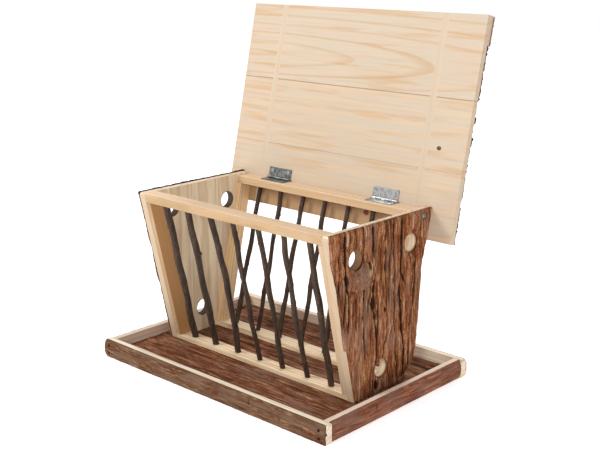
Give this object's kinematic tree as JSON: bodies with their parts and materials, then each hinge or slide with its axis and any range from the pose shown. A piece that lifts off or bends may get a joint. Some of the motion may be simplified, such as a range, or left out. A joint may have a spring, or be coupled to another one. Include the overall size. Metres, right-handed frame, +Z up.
{
  "type": "hay manger",
  "caption": "Tapered hay rack of twigs between bark-faced wooden side panels, standing in a shallow bark-edged tray, with a hinged plank lid shown open.",
  "frame": {"origin": "middle of the tray's underside, on the surface it stands on", "axes": "+X along the tray, -Y towards the front, +Z up"},
  "size_m": [0.3863, 0.2882, 0.4429],
  "materials": {
    "pine": "planed, unvarnished",
    "bark": "rough natural bark",
    "twig": "thin natural bark, matt",
    "zinc_steel": "zinc plated",
    "nail_steel": "dark wire nail"
  },
  "bodies": {
    "manger": {"back_bottom_rail": "pine", "back_left_stile": "pine", "back_right_stile": "pine", "back_top_rail": "pine", "back_twig_1": "twig", "back_twig_2": "twig", "back_twig_3": "twig", "back_twig_4": "twig", "back_twig_5": "twig", "back_twig_6": "twig", "back_twig_7": "twig", "floor_bark": "bark", "floor_board_1": "pine", "floor_board_2": "pine", "floor_board_3": "pine", "front_bottom_rail": "pine", "front_left_stile": "pine", "front_right_stile": "pine", "front_top_rail": "pine", "front_twig_1": "twig", "front_twig_2": "twig", "front_twig_3": "twig", "front_twig_4": "twig", "front_twig_5": "twig", "front_twig_6": "twig", "front_twig_7": "twig", "hinge_rail_screws": "zinc_steel", "left_hinge_fixed_leaf": "zinc_steel", "left_hinge_pin": "zinc_steel", "left_panel_back_board": "pine", "left_panel_bark": "bark", "left_panel_front_board": "pine", "left_panel_middle_board": "pine", "panel_screws": "zinc_steel", "rack_floor_screws": "zinc_steel", "right_hinge_fixed_leaf": "zinc_steel", "right_hinge_pin": "zinc_steel", "right_panel_back_board": "pine", "right_panel_bark": "bark", "right_panel_front_board": "pine", "right_panel_middle_board": "pine", "tray_back_rail": "pine", "tray_back_rail_bark": "bark", "tray_front_rail": "pine", "tray_front_rail_bark": "bark", "tray_left_rail": "pine", "tray_left_rail_bark": "bark", "tray_rail_nails": "nail_steel", "tray_right_rail": "pine", "tray_right_rail_bark": "bark"},
    "lid": {"hinge_lid_screws": "zinc_steel", "left_hinge_moving_leaf": "zinc_steel", "lid_back_board": "pine", "lid_bark": "bark", "lid_front_board": "pine", "lid_left_inlay": "pine", "lid_middle_board": "pine", "lid_right_inlay": "pine", "right_hinge_moving_leaf": "zinc_steel"}
  },
  "joints": [
    {"name": "lid_hinge", "type": "hinge", "parent": "manger", "child": "lid", "pos_m": [0, 0.09024, 0.2182], "axis": [1, 0, 0], "range_deg": [0, 102.89]}
  ]
}
